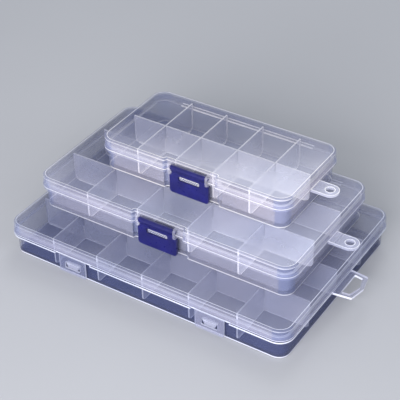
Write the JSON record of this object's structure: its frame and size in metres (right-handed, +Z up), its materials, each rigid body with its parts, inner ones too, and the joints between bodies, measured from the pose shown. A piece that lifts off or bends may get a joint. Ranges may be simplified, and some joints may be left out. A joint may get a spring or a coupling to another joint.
{
  "type": "bead organizer set",
  "caption": "Stack of clear divided bead organizers in graded sizes, each a shallow tray with its own hinged lid, a front latch and a hang tab at the side.",
  "frame": {"origin": "on the table, under the middle of the large tray", "axes": "+X to the right along the long front, +Y to the back where the lids are hinged, +Z up"},
  "size_m": [0.2097, 0.133, 0.066],
  "materials": {
    "clear_tray": "clear, slightly milky polypropylene",
    "clear_lid": "clear, slightly milky polypropylene",
    "clear_divider": "clear polypropylene with bright edges",
    "blue_latch": "glossy deep blue"
  },
  "bodies": {
    "large_box": {"large_tray": "clear_tray", "large_hinge_web": "clear_tray", "large_long_divider_1": "clear_divider", "large_long_divider_2": "clear_divider", "large_long_divider_3": "clear_divider", "large_cross_divider_1": "clear_divider", "large_cross_divider_2": "clear_divider", "large_cross_divider_3": "clear_divider", "large_cross_divider_4": "clear_divider", "large_cross_divider_5": "clear_divider", "large_hang_loop": "clear_tray"},
    "large_lid": {"large_lid": "clear_lid", "large_flap_web_left": "clear_lid", "large_flap_web_right": "clear_lid"},
    "large_flap_left": {"large_flap_latch_left": "clear_lid"},
    "large_flap_right": {"large_flap_latch_right": "clear_lid"},
    "medium_box": {"medium_tray": "clear_tray", "medium_hinge_web": "clear_tray", "medium_long_divider_1": "clear_divider", "medium_long_divider_2": "clear_divider", "medium_cross_divider_1": "clear_divider", "medium_cross_divider_2": "clear_divider", "medium_cross_divider_3": "clear_divider", "medium_cross_divider_4": "clear_divider", "medium_hang_tab": "clear_tray"},
    "medium_lid": {"medium_lid": "clear_lid"},
    "medium_latch": {"medium_latch": "blue_latch"},
    "small_box": {"small_tray": "clear_tray", "small_hinge_web": "clear_tray", "small_long_divider_1": "clear_divider", "small_cross_divider_1": "clear_divider", "small_cross_divider_2": "clear_divider", "small_cross_divider_3": "clear_divider", "small_cross_divider_4": "clear_divider", "small_hang_tab": "clear_tray"},
    "small_lid": {"small_lid": "clear_lid"},
    "small_latch": {"small_latch": "blue_latch"}
  },
  "joints": [
    {"name": "large_lid_hinge", "type": "hinge", "parent": "large_box", "child": "large_lid", "pos_m": [0, 0.0664, 0.0145], "axis": [-1, 0, 0], "range_deg": [0, 105]},
    {"name": "large_flap_left_hinge", "type": "hinge", "parent": "large_lid", "child": "large_flap_left", "pos_m": [-0.04847, -0.0666, 0.0145], "axis": [-1, 0, 0], "range_deg": [0, 95]},
    {"name": "large_flap_right_hinge", "type": "hinge", "parent": "large_lid", "child": "large_flap_right", "pos_m": [0.04847, -0.0666, 0.0145], "axis": [-1, 0, 0], "range_deg": [0, 95]},
    {"name": "medium_box_lift", "type": "slide", "parent": "large_lid", "child": "medium_box", "axis": [0, 0, 1], "range_m": [0, 0.05]},
    {"name": "medium_lid_hinge", "type": "hinge", "parent": "medium_box", "child": "medium_lid", "pos_m": [-0.003, 0.0574, 0.0365], "axis": [-1, 0, 0], "range_deg": [0, 105]},
    {"name": "medium_latch_hinge", "type": "hinge", "parent": "medium_lid", "child": "medium_latch", "pos_m": [-0.003, -0.0417, 0.0413], "axis": [-1, 0, 0], "range_deg": [0, 150]},
    {"name": "small_box_lift", "type": "slide", "parent": "medium_lid", "child": "small_box", "axis": [0, 0, 1], "range_m": [0, 0.05]},
    {"name": "small_lid_hinge", "type": "hinge", "parent": "small_box", "child": "small_lid", "pos_m": [0.0015, 0.0544, 0.0585], "axis": [-1, 0, 0], "range_deg": [0, 180]},
    {"name": "small_latch_hinge", "type": "hinge", "parent": "small_lid", "child": "small_latch", "pos_m": [0.0015, -0.0137, 0.0633], "axis": [-1, 0, 0], "range_deg": [0, 150]}
  ]
}
